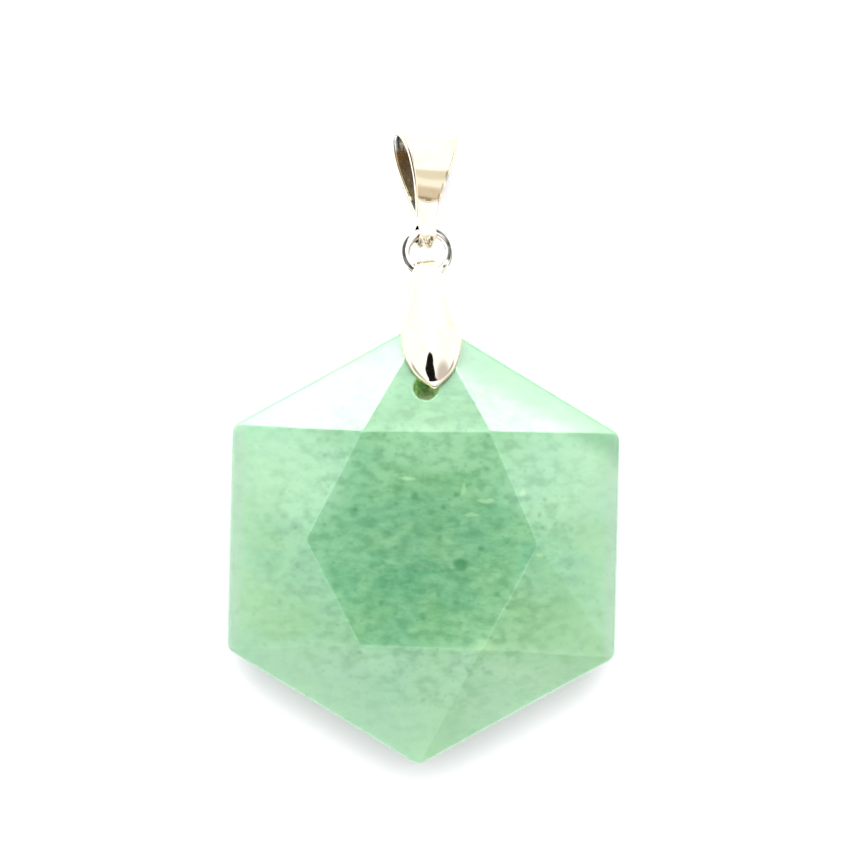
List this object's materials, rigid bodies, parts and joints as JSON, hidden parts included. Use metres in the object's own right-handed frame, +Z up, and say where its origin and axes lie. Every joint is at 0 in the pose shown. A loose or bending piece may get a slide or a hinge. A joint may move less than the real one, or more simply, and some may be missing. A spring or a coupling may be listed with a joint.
{
  "type": "star pendant",
  "caption": "Hexagonal green stone pendant cut as a six-pointed star, on a pinch bail, a jump ring and a folded chain bail.",
  "frame": {"origin": "on the surface it lies on, under the middle of its box", "axes": "+Z up, out of the upper table of the stone; +Y along the pendant from the stone to the chain bail; +X to the right"},
  "size_m": [0.03, 0.0492, 0.008],
  "materials": {
    "aventurine": "polished",
    "plated_bail": "polished",
    "ring_wire": "polished",
    "plated_strip": "polished"
  },
  "bodies": {
    "root": {"stone": "aventurine", "pinch_bail": "plated_bail", "jump_ring": "ring_wire", "chain_bail": "plated_strip"}
  },
  "joints": []
}
